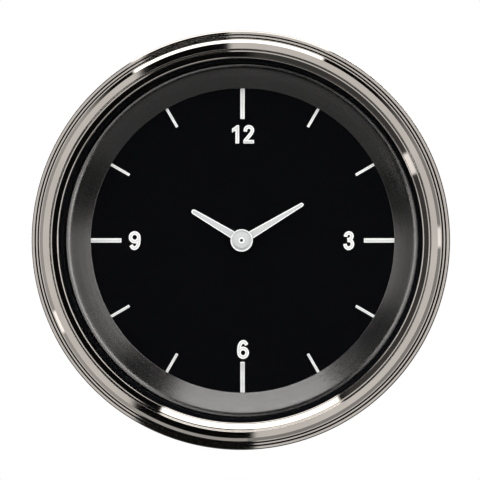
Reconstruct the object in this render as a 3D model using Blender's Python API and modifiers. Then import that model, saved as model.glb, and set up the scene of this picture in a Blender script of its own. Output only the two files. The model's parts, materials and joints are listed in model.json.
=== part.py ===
# Panel clock of the marine instrument kind, for a 3 3/8 inch (86 mm) round opening.
# The face looks along -Y, the rear is +Y and twelve o'clock is +Z. The origin is on the clock's axis,
# in the plane of the panel's front. Lengths below are in millimetres and are turned into metres by MM.

import math

import bmesh
import bpy
from mathutils import Matrix, Vector

MM = 0.001
GAP = 0.3  # clearance between neighbouring pieces

# Bezel, glass and panel
BEZEL_RADIUS = 47.5
BEZEL_FRONT = -6.8
BEZEL_BACK = -1.3
LIP_RADIUS = 41.5
LIP_BACK = -5.3
BEZEL_WALL_RADIUS = 45.6
PANEL_GASKET_THICKNESS = 1.0
LENS_RADIUS = 42.9
LENS_THICKNESS = 1.5
SPACER_INNER_RADIUS = 40.4

# Dial and trim ring
DIAL_FRONT = 3.4
DIAL_THICKNESS = 0.8
DIAL_RADIUS = 40.9
TRIM_OUTER_RADIUS = 40.6
TRIM_INNER_RADIUS = 34.4

# Hands: angles are clockwise from twelve, seen from the front
MINUTE_ANGLE = 59.2
MINUTE_LENGTH = 16.3
HOUR_ANGLE = 300.6
HOUR_LENGTH = 13.35
HAND_THICKNESS = 0.4
MINUTE_HAND_Y = 0.6
HOUR_HAND_Y = 1.8
HAND_BOSS_RADIUS = 2.3
COLLET_DISC_RADIUS = 2.55
COLLET_BOSS_RADIUS = 1.8

# Case
CASE_RADIUS = 42.6
CASE_INNER_RADIUS = 41.7
CASE_BACK = 44.0
CASE_WALL = 1.0
CASE_TAPER = 1.3  # how much less the radius is at the back than at the panel
CASE_CORNER = 1.8
FLANGE_RADIUS = 45.3
FLANGE_FRONT = -3.2
FLANGE_THICKNESS = 0.8

# Movement
MODULE = 0.3
THIRD_MODULE = 0.25
CANNON_TEETH = 10
MOTION_TEETH = 30
MOTION_LEAVES = 8
HOUR_TEETH = 32
SETTING_TEETH = 20
CENTER_TEETH = 64
THIRD_LEAVES = 8
THIRD_TEETH = 60
ROTOR_LEAVES = 8
FRONT_PLATE_Y = 9.2
FRONT_PLATE_RADIUS = 39.9
BACK_PLATE_Y = 21.2
PLATE_THICKNESS = 1.0
BOARD_Y = 22.5
BOARD_THICKNESS = 1.6
PLATE_HALF_WIDTH = 17.0
PLATE_BOTTOM = -18.0
PLATE_TOP = 29.0
COIL_Z = 22.0
COIL_Y = 16.6

# Rear: lamps, terminals, studs and clamp
LAMP_PLACES = ((-24.0, 20.0), (24.0, 20.0))
LAMP_RADIUS = 5.0
TERMINAL_Z = 30.0
TERMINAL_PITCH = 7.0
STUD_X = 28.0
STUD_RADIUS = 2.0
STUD_END = 76.0
PANEL_THICKNESS = 3.0
BRACKET_HALF_WIDTH = 46.4
BRACKET_SHOULDER = 43.0  # half its width at the bar, so that the bezel hides it from the front
BRACKET_BACK = 52.0
BRACKET_THICKNESS = 1.5
BRACKET_STRIP = 13.0

BIG_STEPS = 48
SMALL_STEPS = 12

# Where the movement's axes stand, as (x, z)
CENTER = (0.0, 0.0)
MOTION = (0.0, -(CANNON_TEETH + MOTION_TEETH) * MODULE / 2)
SETTING = (0.0, MOTION[1] - (MOTION_TEETH + SETTING_TEETH) * MODULE / 2)
THIRD_DIRECTION = 135.0
ROTOR_DIRECTION = 45.0


def from_point(start, direction, distance):
    angle = math.radians(direction)
    return (start[0] + distance * math.cos(angle), start[1] + distance * math.sin(angle))


THIRD = from_point(CENTER, THIRD_DIRECTION, (CENTER_TEETH + THIRD_LEAVES) * MODULE / 2)
ROTOR = from_point(THIRD, ROTOR_DIRECTION, (THIRD_TEETH + ROTOR_LEAVES) * THIRD_MODULE / 2)
PILLARS = ((-14.5, -15.5), (14.5, -15.5), (-14.5, 26.6), (14.5, 26.6))

FINISHES = {
    "dark_nickel": ((0.42, 0.40, 0.38), 0.18, 1.0),
    "satin_nickel": ((0.34, 0.33, 0.32), 0.38, 1.0),
    "plated_steel": ((0.62, 0.60, 0.55), 0.35, 1.0),
    "brass": ((0.72, 0.52, 0.22), 0.3, 1.0),
    "copper": ((0.60, 0.25, 0.12), 0.35, 1.0),
    "hand_paint": ((0.72, 0.72, 0.70), 0.45, 0.0),
    "dial_paint": ((0.012, 0.012, 0.014), 0.5, 0.0),
    "black_plastic": ((0.02, 0.02, 0.022), 0.5, 0.0),
    "white_plastic": ((0.82, 0.82, 0.78), 0.5, 0.0),
    "black_rubber": ((0.015, 0.015, 0.015), 0.8, 0.0),
    "clear_glass": ((0.9, 0.93, 0.92), 0.03, 0.0),
    "board_laminate": ((0.03, 0.16, 0.07), 0.45, 0.0),
    "magnet": ((0.12, 0.12, 0.12), 0.5, 1.0),
}

for old in list(bpy.data.objects):
    bpy.data.objects.remove(old)

clockCollection = bpy.data.collections.new("ships_deck_clock")
cutterCollection = bpy.data.collections.new("cutters")
bpy.context.scene.collection.children.link(clockCollection)
bpy.context.scene.collection.children.link(cutterCollection)


def material(finish):
    found = bpy.data.materials.get(finish)
    if found:
        return found
    color, roughness, metallic = FINISHES[finish]
    made = bpy.data.materials.new(finish)
    made.use_nodes = True
    shader = made.node_tree.nodes["Principled BSDF"]
    shader.inputs["Base Color"].default_value = (*color, 1.0)
    shader.inputs["Roughness"].default_value = roughness
    shader.inputs["Metallic"].default_value = metallic
    return made


def add(name, mesh, finish, place=CENTER, y=0.0, tilt=-90.0):
    """A mesh object whose local Z lies along the clock's axis, on the line through (x, z) = place."""
    mesh.materials.clear()
    mesh.materials.append(material(finish))
    obj = bpy.data.objects.new(name, mesh)
    obj.location = (place[0] * MM, y * MM, place[1] * MM)
    obj.rotation_euler = (math.radians(tilt), 0.0, 0.0)
    clockCollection.objects.link(obj)
    return obj


def hide_cutter(obj):
    for collection in list(obj.users_collection):
        collection.objects.unlink(obj)
    cutterCollection.objects.link(obj)
    obj.hide_render = True
    obj.display_type = "WIRE"
    return obj


def boolean(target, other, operation):
    modifier = target.modifiers.new(operation.lower(), "BOOLEAN")
    modifier.operation = operation
    modifier.solver = "EXACT"
    modifier.object = hide_cutter(other)
    return target


def turned(name, profile, finish, place=CENTER, steps=SMALL_STEPS):
    """A solid turned about the clock's axis direction from (radius, y) points.

    A profile that starts and ends at radius 0 is a solid one, and any other closes on itself as a ring.
    """
    solid = profile[0][0] == 0 and profile[-1][0] == 0
    area = sum(
        a[0] * b[1] - b[0] * a[1]
        for a, b in zip(profile, profile[1:] + profile[:1])
    )
    points = profile if area < 0 else profile[::-1]
    mesh = bpy.data.meshes.new(name)
    shape = bmesh.new()
    corners = [shape.verts.new((radius * MM, 0.0, y * MM)) for radius, y in points]
    for first, second in zip(corners, corners[1:]):
        shape.edges.new((first, second))
    if not solid:
        shape.edges.new((corners[-1], corners[0]))
    shape.to_mesh(mesh)
    shape.free()
    obj = add(name, mesh, finish, place)
    screw = obj.modifiers.new("turn", "SCREW")
    screw.steps = steps
    screw.render_steps = steps
    screw.use_merge_vertices = True
    screw.merge_threshold = 1e-6
    screw.use_smooth_shade = True
    return obj


def ring(name, inner, outer, front, back, finish, place=CENTER, steps=SMALL_STEPS):
    profile = [(outer, back), (outer, front), (inner, front), (inner, back)]
    return turned(name, profile, finish, place, steps)


def rod(name, radius, front, back, finish, place=CENTER, steps=SMALL_STEPS):
    profile = [(0, back), (radius, back), (radius, front), (0, front)]
    return turned(name, profile, finish, place, steps)


def circle(radius, place=CENTER, steps=SMALL_STEPS):
    turns = [2 * math.pi * k / steps for k in range(steps)]
    return [(place[0] + radius * math.cos(t), place[1] + radius * math.sin(t)) for t in turns]


def rounded_box(left, right, bottom, top, radius, steps=3):
    """Outline of a rectangle whose corners are arcs."""
    centers = (
        (right - radius, top - radius, 0),
        (left + radius, top - radius, 90),
        (left + radius, bottom + radius, 180),
        (right - radius, bottom + radius, 270),
    )
    points = []
    for x, z, start in centers:
        for k in range(steps + 1):
            angle = math.radians(start + 90 * k / steps)
            points.append((x + radius * math.cos(angle), z + radius * math.sin(angle)))
    return points


def cut_sheet(name, loops, front, back, finish, place=CENTER):
    """A flat piece from outlines in (x, z): the first is its edge and the others are its holes."""
    curve = bpy.data.curves.new(name, "CURVE")
    curve.dimensions = "2D"
    curve.fill_mode = "BOTH"
    curve.extrude = (back - front) / 2 * MM
    for loop in loops:
        spline = curve.splines.new("POLY")
        spline.points.add(len(loop) - 1)
        for point, (x, z) in zip(spline.points, loop):
            point.co = (x * MM, z * MM, 0.0, 1.0)
        spline.use_cyclic_u = True
    guide = bpy.data.objects.new(name + "_outline", curve)
    clockCollection.objects.link(guide)
    graph = bpy.context.evaluated_depsgraph_get()
    mesh = bpy.data.meshes.new_from_object(guide.evaluated_get(graph))
    bpy.data.objects.remove(guide)
    bpy.data.curves.remove(curve)
    mesh.name = name
    shape = bmesh.new()
    shape.from_mesh(mesh)
    bmesh.ops.remove_doubles(shape, verts=shape.verts, dist=1e-7)
    bmesh.ops.recalc_face_normals(shape, faces=shape.faces)
    shape.to_mesh(mesh)
    shape.free()
    return add(name, mesh, finish, place, (front + back) / 2, 90.0)


def block(name, size, middle, finish, bevel=0.0):
    """A box of size (x, y, z) about its middle, with its edges rounded by bevel."""
    mesh = bpy.data.meshes.new(name)
    shape = bmesh.new()
    bmesh.ops.create_cube(shape, size=1.0, matrix=Matrix.Diagonal((*[s * MM for s in size], 1.0)))
    shape.to_mesh(mesh)
    shape.free()
    obj = add(name, mesh, finish, (middle[0], middle[2]), middle[1], 0.0)
    if bevel:
        rounded = obj.modifiers.new("edges", "BEVEL")
        rounded.width = bevel * MM
        rounded.segments = 1
    return obj


def tooth_outline(teeth, module, phase, root, tip):
    """Straight-sided clock teeth. root and tip are the tooth's width there, in parts of its pitch."""
    pitch_radius = teeth * module / 2
    corners = (
        (pitch_radius - 1.2 * module, -root),
        (pitch_radius + 0.8 * module, -tip),
        (pitch_radius + 0.8 * module, tip),
        (pitch_radius - 1.2 * module, root),
    )
    points = []
    for k in range(teeth):
        middle = math.radians(phase) + 2 * math.pi * k / teeth
        for radius, side in corners:
            angle = middle + side * math.pi / teeth
            points.append((radius * math.cos(angle), radius * math.sin(angle)))
    return points


def wheel_teeth(teeth, module, phase):
    return tooth_outline(teeth, module, phase, 0.60, 0.22)


def leaf_teeth(teeth, module, phase):
    return tooth_outline(teeth, module, phase, 0.54, 0.16)


def meshed_phase(direction, teeth, phase, next_teeth):
    """The phase of the next wheel, standing in this direction, that puts its gap on this wheel's tooth."""
    return direction + 180 + (180 - teeth * (phase - direction)) / next_teeth


def make_bezel():
    profile = [
        (LIP_RADIUS, LIP_BACK),
        (LIP_RADIUS, -5.7),
        (41.9, -5.75),
        (42.75, -6.42),
        (43.15, -6.5),
        (43.45, BEZEL_FRONT),
        (44.8, -6.63),
        (45.5, -6.2),
        (45.75, -6.15),
        (46.0, -5.75),
        (46.45, -5.68),
        (46.75, -5.1),
        (47.3, -5.0),
        (BEZEL_RADIUS, -4.8),
        (BEZEL_RADIUS, BEZEL_BACK - 0.5),
        (BEZEL_RADIUS - 0.5, BEZEL_BACK),
        (43.9, BEZEL_BACK),
        (43.9, FLANGE_FRONT + FLANGE_THICKNESS + GAP),
        (BEZEL_WALL_RADIUS, FLANGE_FRONT + FLANGE_THICKNESS + GAP),
        (BEZEL_WALL_RADIUS, LIP_BACK),
    ]
    turned("bezel", profile, "dark_nickel", steps=BIG_STEPS)


def make_glazing():
    front = LIP_BACK + GAP
    back = front + LENS_THICKNESS
    rod("lens", LENS_RADIUS, front, back, "clear_glass", steps=BIG_STEPS)
    seal_outer = BEZEL_WALL_RADIUS - GAP
    ring("lens_seal", LENS_RADIUS + GAP, seal_outer, front, back, "black_rubber", steps=BIG_STEPS)
    spacer_outer = CASE_INNER_RADIUS - 0.4
    ring(
        "glass_spacer",
        SPACER_INNER_RADIUS,
        spacer_outer,
        back + GAP,
        0.2,
        "black_plastic",
        steps=BIG_STEPS,
    )
    ring("panel_gasket", 43.2, 47.0, -PANEL_GASKET_THICKNESS, 0.0, "black_rubber", steps=BIG_STEPS)


def make_dial():
    back = DIAL_FRONT + DIAL_THICKNESS
    ring("dial", 2.0, DIAL_RADIUS, DIAL_FRONT, back, "dial_paint", steps=BIG_STEPS)
    foot = DIAL_FRONT - GAP
    profile = [
        (TRIM_OUTER_RADIUS, 2.0),
        (TRIM_OUTER_RADIUS, 1.1),
        (40.3, 0.65),
        (39.8, 0.5),
        (39.2, 0.65),
        (TRIM_INNER_RADIUS, foot - 0.2),
        (TRIM_INNER_RADIUS, foot),
        (TRIM_INNER_RADIUS + 1.0, foot),
        (39.2, 1.7),
    ]
    turned("trim_ring", profile, "satin_nickel", steps=BIG_STEPS)


def hand_outline(angle, length, root_half, tip_half, boss):
    """A tapered blade with a round end, growing out of a round boss."""
    half_spread = math.asin(root_half / boss)
    points = []
    steps = 12
    for k in range(steps + 1):
        turn = half_spread + (2 * math.pi - 2 * half_spread) * k / steps
        points.append((boss * math.cos(turn), boss * math.sin(turn)))
    for k in range(5):
        turn = math.radians(-90 + 45 * k)
        points.append((length - tip_half + tip_half * math.cos(turn), tip_half * math.sin(turn)))
    spin = Matrix.Rotation(math.radians(90 - angle), 2)
    return [tuple(spin @ Vector(point)) for point in points]


def make_hands():
    minute = hand_outline(MINUTE_ANGLE, MINUTE_LENGTH, 0.91, 0.43, HAND_BOSS_RADIUS)
    back = MINUTE_HAND_Y + HAND_THICKNESS
    cut_sheet("minute_hand", [minute, circle(1.3)], MINUTE_HAND_Y, back, "hand_paint")
    hour = hand_outline(HOUR_ANGLE, HOUR_LENGTH, 0.885, 0.545, HAND_BOSS_RADIUS)
    back = HOUR_HAND_Y + HAND_THICKNESS
    cut_sheet("hour_hand", [hour, circle(1.6)], HOUR_HAND_Y, back, "hand_paint")
    collet = [
        (COLLET_DISC_RADIUS, 0.3),
        (COLLET_DISC_RADIUS, -0.2),
        (COLLET_DISC_RADIUS - 0.25, -0.2),
        (COLLET_DISC_RADIUS - 0.25, 0.0),
        (COLLET_BOSS_RADIUS, 0.0),
        (COLLET_BOSS_RADIUS, -0.4),
        (COLLET_BOSS_RADIUS - 0.1, -0.5),
        (0.37, -0.5),
        (0.37, -0.1),
        (0.75, -0.1),
        (0.75, 1.4),
        (1.0, 1.4),
        (1.0, 0.3),
    ]
    turned("hand_collet", collet, "hand_paint", steps=24)


def make_case():
    flange_back = FLANGE_FRONT + FLANGE_THICKNESS
    inner_back = CASE_BACK - CASE_WALL
    tail = CASE_RADIUS - CASE_TAPER
    profile = [
        (0, CASE_BACK),
        (tail - CASE_CORNER, CASE_BACK),
        (tail - 0.5, CASE_BACK - 0.5),
        (tail, CASE_BACK - CASE_CORNER),
        (CASE_RADIUS, PANEL_THICKNESS),
        (CASE_RADIUS, flange_back),
        (FLANGE_RADIUS, flange_back),
        (FLANGE_RADIUS, FLANGE_FRONT),
        (CASE_INNER_RADIUS, FLANGE_FRONT),
        (CASE_INNER_RADIUS, PANEL_THICKNESS),
        (CASE_INNER_RADIUS - CASE_TAPER, inner_back - 1.0),
        (CASE_INNER_RADIUS - CASE_TAPER - 1.0, inner_back),
        (0, inner_back),
    ]
    case = turned("case", profile, "plated_steel", steps=BIG_STEPS)
    for side, place in zip(("left", "right"), LAMP_PLACES):
        cut_hole(case, "case_lamp_" + side, LAMP_RADIUS + 0.4, place, inner_back - 1, CASE_BACK + 1)
    for side, x in (("left", -STUD_X), ("right", STUD_X)):
        cut_hole(case, "case_stud_" + side, STUD_RADIUS + GAP, (x, 0.0), inner_back - 1, CASE_BACK + 1)
    cut_hole(case, "case_stem", 3.5, SETTING, inner_back - 1, CASE_BACK + 1)
    window = (TERMINAL_PITCH * 3 + 1, 4.0, 5.0)
    slot = block("case_terminals", window, (0.0, CASE_BACK - 0.5, TERMINAL_Z), "plated_steel")
    boolean(case, slot, "DIFFERENCE")


def cut_hole(target, name, radius, place, front, back):
    """A round hole, turned a little so that its corners miss the edges of the faces that it cuts."""
    drill = rod(name, radius, front, back, "plated_steel", place, 16)
    drill.rotation_euler.y = math.radians(5)
    boolean(target, drill, "DIFFERENCE")


def make_light_housing():
    front = DIAL_FRONT + DIAL_THICKNESS + GAP
    ledge = FRONT_PLATE_Y + PLATE_THICKNESS + GAP
    floor_front = 39.4
    floor_back = 40.4
    outer = CASE_INNER_RADIUS - 0.4
    tail = outer - CASE_TAPER
    profile = [
        (0, floor_back),
        (tail - 1.0, floor_back),
        (tail, floor_back - 1.0),
        (outer, front),
        (FRONT_PLATE_RADIUS + GAP, front),
        (FRONT_PLATE_RADIUS + GAP, ledge),
        (FRONT_PLATE_RADIUS - 1.2, ledge),
        (FRONT_PLATE_RADIUS - 1.2, floor_front),
        (0, floor_front),
    ]
    housing = turned("light_housing", profile, "white_plastic", steps=BIG_STEPS)
    for side, place in zip(("left", "right"), LAMP_PLACES):
        name = "housing_lamp_" + side
        cut_hole(housing, name, LAMP_RADIUS + 0.5, place, floor_front - 1, floor_back + 1)
    cut_hole(housing, "housing_stem", 2.0, SETTING, floor_front - 1, floor_back + 1)


def make_plates():
    back = FRONT_PLATE_Y + PLATE_THICKNESS
    holes = [circle(1.05), circle(0.8, THIRD, 8), circle(0.8, ROTOR, 8), circle(0.6, MOTION, 8)]
    holes += [circle(1.5, SETTING)] + [circle(6.0, place, 16) for place in LAMP_PLACES]
    edge = circle(FRONT_PLATE_RADIUS, steps=BIG_STEPS)
    cut_sheet("front_plate", [edge] + holes, FRONT_PLATE_Y, back, "brass")

    outline = rounded_box(-PLATE_HALF_WIDTH, PLATE_HALF_WIDTH, PLATE_BOTTOM, PLATE_TOP, 3.0)
    holes = [circle(1.05), circle(0.8, THIRD, 8), circle(0.8, ROTOR, 8), circle(1.5, SETTING)]
    holes += [circle(1.1, place, 8) for place in PILLARS]
    back = BACK_PLATE_Y + PLATE_THICKNESS
    cut_sheet("back_plate", [outline] + holes, BACK_PLATE_Y, back, "brass")

    holes = [circle(1.5, SETTING)] + [circle(1.1, place, 8) for place in PILLARS]
    cut_sheet("circuit_board", [outline] + holes, BOARD_Y, BOARD_Y + BOARD_THICKNESS, "board_laminate")


def make_pillars():
    front = FRONT_PLATE_Y + PLATE_THICKNESS + GAP
    back = BACK_PLATE_Y - GAP
    head = BOARD_Y + BOARD_THICKNESS + GAP
    for number, place in enumerate(PILLARS, 1):
        pillar = [(0, 16.0), (1.1, 16.0), (1.1, back), (2.2, back), (2.2, front), (0, front)]
        turned(f"pillar_{number}", pillar, "brass", place)
        screw = [(0, head + 1.2), (1.4, head + 1.2), (1.8, head + 0.8), (1.8, head)]
        screw += [(0.8, head), (0.8, 16.5), (0, 16.5)]
        turned(f"plate_screw_{number}", screw, "plated_steel", place, 10)


def make_motion_work():
    pinion = meshed_phase(-90, CANNON_TEETH, 0, MOTION_TEETH)
    cannon = leaf_teeth(CANNON_TEETH, MODULE, 0)
    arbor_profile = [
        (0, 21.9),
        (0.75, 21.9),
        (0.75, 7.1),
        (0.6, 7.1),
        (0.6, 1.7),
        (0.45, 1.7),
        (0.45, 0.2),
        (0, 0.2),
    ]
    arbor = turned("center_arbor", arbor_profile, "plated_steel")
    boolean(arbor, cut_sheet("cannon_leaves", [cannon], 6.8, 8.2, "plated_steel"), "UNION")

    motion = wheel_teeth(MOTION_TEETH, MODULE, pinion)
    wheel = cut_sheet("motion_wheel", [motion, circle(0.7, steps=8)], 7.0, 8.0, "white_plastic", MOTION)
    leaves = [leaf_teeth(MOTION_LEAVES, MODULE, 0), circle(0.55, steps=8)]
    boolean(wheel, cut_sheet("motion_leaves", leaves, 4.9, 8.3, "white_plastic", MOTION), "UNION")
    rod("motion_stud", 0.25, 4.7, 10.0, "plated_steel", MOTION, 8)

    hour_phase = meshed_phase(90, MOTION_LEAVES, 0, HOUR_TEETH)
    hour = [wheel_teeth(HOUR_TEETH, MODULE, hour_phase), circle(1.1)]
    wheel = cut_sheet("hour_wheel", hour, 5.1, 6.1, "white_plastic")
    boolean(wheel, ring("hour_pipe", 0.9, 1.3, 1.5, 6.3, "white_plastic"), "UNION")

    setting_phase = meshed_phase(-90, MOTION_TEETH, pinion, SETTING_TEETH)
    setting = [wheel_teeth(SETTING_TEETH, MODULE, setting_phase), circle(1.5)]
    cut_sheet("setting_gear", setting, 7.0, 8.0, "white_plastic", SETTING)


def make_train():
    center = [wheel_teeth(CENTER_TEETH, MODULE, 0), circle(1.05)]
    cut_sheet("center_wheel", center, 11.2, 12.0, "brass")

    third_phase = meshed_phase(THIRD_DIRECTION, CENTER_TEETH, 0, THIRD_LEAVES)
    arbor = rod("third_pinion", 0.5, 9.5, 21.9, "plated_steel", THIRD, 8)
    leaves = [leaf_teeth(THIRD_LEAVES, MODULE, third_phase)]
    boolean(arbor, cut_sheet("third_leaves", leaves, 10.9, 12.4, "plated_steel", THIRD), "UNION")
    third = [wheel_teeth(THIRD_TEETH, THIRD_MODULE, 0), circle(0.8, steps=8)]
    cut_sheet("third_wheel", third, 12.9, 13.7, "brass", THIRD)

    rotor_phase = meshed_phase(ROTOR_DIRECTION, THIRD_TEETH, 0, ROTOR_LEAVES)
    arbor = rod("rotor_pinion", 0.4, 9.5, 21.9, "plated_steel", ROTOR, 8)
    leaves = [leaf_teeth(ROTOR_LEAVES, THIRD_MODULE, rotor_phase)]
    boolean(arbor, cut_sheet("rotor_leaves", leaves, 12.6, 14.0, "plated_steel", ROTOR), "UNION")
    ring("rotor_magnet", 0.7, 2.2, 14.6, 16.8, "magnet", ROTOR)


def make_motor():
    arms = [
        (-15, 11.0),
        (15, 11.0),
        (15, 24.0),
        (11, 24.0),
        (11, 17.0),
        (-11, 17.0),
        (-11, 24.0),
        (-15, 24.0),
    ]
    cut_sheet("stator", [arms, circle(2.6, ROTOR, 16)], 15.0, 15.9, "plated_steel")
    block("coil_core", (30.0, 0.8, 3.0), (0.0, COIL_Y, COIL_Z), "plated_steel")
    bobbin = [
        (1.9, -10.0),
        (4.0, -10.0),
        (4.0, -9.0),
        (2.3, -9.0),
        (2.3, 9.0),
        (4.0, 9.0),
        (4.0, 10.0),
        (1.9, 10.0),
    ]
    winding = [(2.6, -8.7), (3.6, -8.7), (3.6, 8.7), (2.6, 8.7)]
    for name, profile, finish in (
        ("coil_bobbin", bobbin, "black_plastic"),
        ("coil_winding", winding, "copper"),
    ):
        obj = turned(name, profile, finish)
        obj.rotation_euler = (0.0, math.radians(90), 0.0)
        obj.location = (0.0, COIL_Y * MM, COIL_Z * MM)


def make_board_parts():
    face = BOARD_Y + BOARD_THICKNESS + GAP
    block("driver_chip", (6.0, 1.6, 5.0), (4.0, face + 0.8, 6.0), "black_plastic")
    crystal = rod("quartz_crystal", 1.5, -3.5, 3.5, "plated_steel")
    crystal.rotation_euler = (0.0, math.radians(90), 0.0)
    crystal.location = (-6.0 * MM, (face + 1.5) * MM, 6.0 * MM)
    rod("capacitor", 2.5, face, face + 7.0, "black_plastic", (8.0, -6.0))


def knurl(radius, depth, ridges):
    points = []
    for k in range(ridges * 2):
        angle = math.pi * k / ridges
        reach = radius - depth * (k % 2)
        points.append((reach * math.cos(angle), reach * math.sin(angle)))
    return points


def make_setting():
    stem = [(0, 52.0), (1.2, 52.0), (1.2, 6.8), (0, 6.8)]
    turned("set_stem", stem, "plated_steel", SETTING)
    ring("stem_grommet", 1.6, 3.2, 42.9, 44.4, "black_rubber", SETTING)
    cut_sheet("set_knob", [knurl(4.5, 0.4, 20), circle(1.5)], 46.5, 53.0, "black_plastic", SETTING)


def make_lamps():
    wall = CASE_BACK + GAP
    for side, place in zip(("left", "right"), LAMP_PLACES):
        holder = [
            (0, wall + 2.0),
            (LAMP_RADIUS + 1.6, wall + 2.0),
            (LAMP_RADIUS + 1.6, wall),
            (LAMP_RADIUS, wall),
            (LAMP_RADIUS, 36.0),
            (3.2, 36.0),
            (3.2, 41.0),
            (0, 41.0),
        ]
        lamp = turned("lamp_holder_" + side, holder, "black_plastic", place, 16)
        middle = (place[0], wall + 4.5, place[1])
        boolean(lamp, block("lamp_grip_" + side, (10.0, 6.0, 2.4), middle, "black_plastic"), "UNION")
        bulb = [
            (0, 40.5),
            (2.6, 40.5),
            (2.6, 33.0),
            (2.9, 31.5),
            (2.9, 29.0),
            (2.2, 27.2),
            (1.0, 26.4),
            (0, 26.3),
        ]
        turned("lamp_bulb_" + side, bulb, "clear_glass", place)


def make_terminals():
    base = CASE_BACK + GAP
    size = (TERMINAL_PITCH * 3 + 4, 3.0, 9.0)
    body = block("terminal_block", size, (0.0, base + 1.5, TERMINAL_Z), "black_plastic", 0.4)
    for number in (1, 2, 3):
        x = (number - 2) * TERMINAL_PITCH
        hole = (1.4, 6.0, 4.6)
        slot = block(f"terminal_slot_{number}", hole, (x, base + 1.5, TERMINAL_Z), "black_plastic")
        boolean(body, slot, "DIFFERENCE")
        block(f"terminal_{number}", (0.8, 14.0, 4.0), (x, 48.5, TERMINAL_Z), "brass", 0.15)


def bracket_outline():
    """The bent strip seen from above, as (x, y): two legs, a cross bar and rounded bends."""
    outer, inner = 3.5, 2.0
    points = [(BRACKET_HALF_WIDTH, PANEL_THICKNESS)]
    middle_x = BRACKET_SHOULDER - outer
    middle_y = BRACKET_BACK - outer
    for k in range(4):
        angle = math.radians(30 * k)
        points.append((middle_x + outer * math.cos(angle), middle_y + outer * math.sin(angle)))
    left = [(-x, y) for x, y in reversed(points)]
    inside = [(-(middle_x + inner * math.cos(a)), middle_y + inner * math.sin(a)) for a in (0, 0.785, 1.57)]
    leg = BRACKET_HALF_WIDTH - BRACKET_THICKNESS
    inside = [(-leg, PANEL_THICKNESS)] + inside
    return points + left + inside + [(-x, y) for x, y in reversed(inside)]


def make_clamp():
    strip = [(x, -y) for x, y in bracket_outline()]
    half = BRACKET_STRIP / 2
    bracket = cut_sheet("clamp_bracket", [strip], -half, half, "plated_steel")
    bracket.rotation_euler = (math.radians(180), 0.0, 0.0)
    bracket.location = (0.0, 0.0, 0.0)
    for side, x in (("left", -STUD_X), ("right", STUD_X)):
        place = (x, 0.0)
        name = "bracket_hole_" + side
        cut_hole(bracket, name, STUD_RADIUS + 0.4, place, BRACKET_BACK - 4, BRACKET_BACK + 4)
        washer = BRACKET_BACK + GAP
        ring("lock_washer_" + side, 2.3, 4.2, washer, washer + 0.9, "plated_steel", place)
        nut = washer + 0.9 + GAP
        outline = [knurl(6.5, 0.5, 24), circle(STUD_RADIUS + GAP, steps=16)]
        cut_sheet("thumb_nut_" + side, outline, nut, nut + 7.0, "brass", place)
        stud = [
            (0, STUD_END),
            (STUD_RADIUS - 0.5, STUD_END),
            (STUD_RADIUS, STUD_END - 0.5),
            (STUD_RADIUS, 42.7),
            (3.5, 42.7),
            (3.5, 41.2),
            (0, 41.2),
        ]
        turned("stud_" + side, stud, "plated_steel", place)


make_bezel()
make_glazing()
make_dial()
make_hands()
make_case()
make_light_housing()
make_plates()
make_pillars()
make_motion_work()
make_train()
make_motor()
make_board_parts()
make_setting()
make_lamps()
make_terminals()
make_clamp()
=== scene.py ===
import json
import math

import bmesh
import bpy
import numpy as np
from mathutils import Matrix, Vector


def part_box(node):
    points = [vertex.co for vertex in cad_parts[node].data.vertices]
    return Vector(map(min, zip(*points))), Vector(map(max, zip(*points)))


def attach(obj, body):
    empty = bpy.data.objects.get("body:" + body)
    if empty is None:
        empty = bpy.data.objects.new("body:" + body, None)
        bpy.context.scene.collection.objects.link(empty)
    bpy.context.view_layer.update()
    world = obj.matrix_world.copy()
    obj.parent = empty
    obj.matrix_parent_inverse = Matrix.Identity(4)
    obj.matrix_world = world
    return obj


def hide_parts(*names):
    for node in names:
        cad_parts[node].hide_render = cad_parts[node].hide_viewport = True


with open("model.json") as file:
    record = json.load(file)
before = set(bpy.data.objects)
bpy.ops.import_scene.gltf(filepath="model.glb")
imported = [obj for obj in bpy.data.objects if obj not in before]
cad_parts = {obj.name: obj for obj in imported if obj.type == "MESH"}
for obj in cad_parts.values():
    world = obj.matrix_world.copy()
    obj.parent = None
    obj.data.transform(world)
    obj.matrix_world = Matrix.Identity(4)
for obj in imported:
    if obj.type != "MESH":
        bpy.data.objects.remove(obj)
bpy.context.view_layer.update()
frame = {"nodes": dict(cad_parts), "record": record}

mm = 0.001
viewYaw = 3.3  # how far to the right of the dial's axis the camera stands, in degrees
print("frame loaded:", len(frame["nodes"]), "nodes")


# shader maths on sockets

class Signal:
    def __init__(self, recipe, socket):
        self.recipe = recipe
        self.socket = socket

    def math(self, operation, *others):
        inputs = dict(enumerate((self,) + others))
        return self.recipe.add("ShaderNodeMath", {"operation": operation}, inputs)

    def flipped(self, operation, other):
        return self.recipe.add("ShaderNodeMath", {"operation": operation}, {0: other, 1: self})

    def __add__(self, other):
        return self.math("ADD", other)

    def __radd__(self, other):
        return self.math("ADD", other)

    def __sub__(self, other):
        return self.math("SUBTRACT", other)

    def __rsub__(self, other):
        return self.flipped("SUBTRACT", other)

    def __mul__(self, other):
        return self.math("MULTIPLY", other)

    def __rmul__(self, other):
        return self.math("MULTIPLY", other)

    def __truediv__(self, other):
        return self.math("DIVIDE", other)

    def __rtruediv__(self, other):
        return self.flipped("DIVIDE", other)

    def __pow__(self, other):
        return self.math("POWER", other)

    def most(self, other):
        return self.math("MAXIMUM", other)

    def ramp(self, low, high, start=0.0, end=1.0):
        inputs = {"Value": self, "From Min": low, "From Max": high, "To Min": start, "To Max": end}
        return self.recipe.add("ShaderNodeMapRange", {"interpolation_type": "SMOOTHSTEP"}, inputs)

    # 1 between low and high and 0 outside, with soft ends
    def within(self, low, high, soft):
        rising = self.ramp(low - soft, low + soft)
        return rising * self.ramp(high - soft, high + soft, 1.0, 0.0)


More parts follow.
